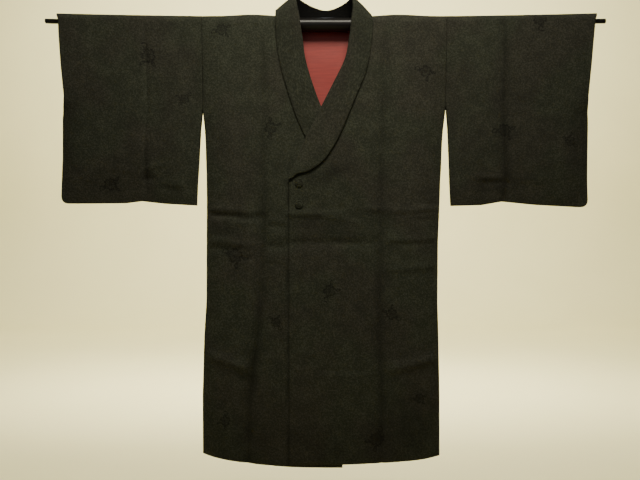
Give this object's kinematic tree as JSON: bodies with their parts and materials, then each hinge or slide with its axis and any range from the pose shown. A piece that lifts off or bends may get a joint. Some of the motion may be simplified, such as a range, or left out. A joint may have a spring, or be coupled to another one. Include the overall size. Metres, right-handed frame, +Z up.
{
  "type": "kimono coat on a hanging rod",
  "caption": "Dark hip-to-knee-length kimono coat with a shawl collar, wide square sleeves and a red shoulder lining, hung flat on a round rod that goes through both sleeves.",
  "frame": {"origin": "middle of the hanging rod's axis, inside the neck of the coat", "axes": "+X along the rod towards the wearer's left, +Y towards the coat's back, +Z up"},
  "size_m": [1.4, 0.0677, 1.1728],
  "materials": {
    "coat_cloth": "matte silk crepe, near black, woven with small tone-on-tone flowers",
    "lining_cloth": "soft satin silk, red",
    "black_lacquer": "glossy black lacquer"
  },
  "bodies": {
    "root": {"rod": "black_lacquer", "body_left": "coat_cloth", "body_right": "coat_cloth", "sleeve_left": "coat_cloth", "sleeve_right": "coat_cloth", "collar": "coat_cloth", "lining_back": "lining_cloth", "button_upper": "coat_cloth", "button_lower": "coat_cloth"}
  },
  "joints": []
}
